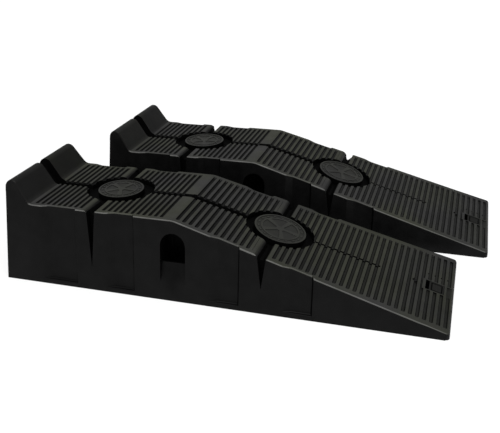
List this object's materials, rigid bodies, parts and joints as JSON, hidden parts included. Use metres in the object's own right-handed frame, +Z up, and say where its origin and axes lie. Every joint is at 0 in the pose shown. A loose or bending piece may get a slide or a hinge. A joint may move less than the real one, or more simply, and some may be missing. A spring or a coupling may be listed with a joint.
{
  "type": "wheel ramp pair",
  "caption": "Pair of moulded drive-on wheel ramps with ribbed incline, flat platform, raised wheel stop, hand holes, round badges in ring wells and rubber toe grips.",
  "frame": {"origin": "middle of the pair's footprint, on the floor", "axes": "+X from the rear walls towards the toes, +Y from the first ramp towards the second, +Z up"},
  "size_m": [0.968, 0.637, 0.2111],
  "materials": {
    "moulded_black": "satin moulded polypropylene with a fine grain",
    "badge_black": "satin moulded plastic, slightly smoother than the ramp",
    "rubber_black": "matt rubber",
    "pin_black": "dull nylon"
  },
  "bodies": {
    "ramp_a": {"ramp_a_body": "moulded_black", "ramp_a_rear_badge": "badge_black", "ramp_a_front_badge": "badge_black", "ramp_a_toe_grip": "rubber_black", "ramp_a_toe_pin": "pin_black"},
    "ramp_b": {"ramp_b_body": "moulded_black", "ramp_b_rear_badge": "badge_black", "ramp_b_front_badge": "badge_black", "ramp_b_toe_grip": "rubber_black", "ramp_b_toe_pin": "pin_black"}
  },
  "joints": [
    {"name": "track_spacing", "type": "slide", "parent": "ramp_a", "child": "ramp_b", "axis": [0, 1, 0], "range_m": [-0.04, 1.3]}
  ]
}
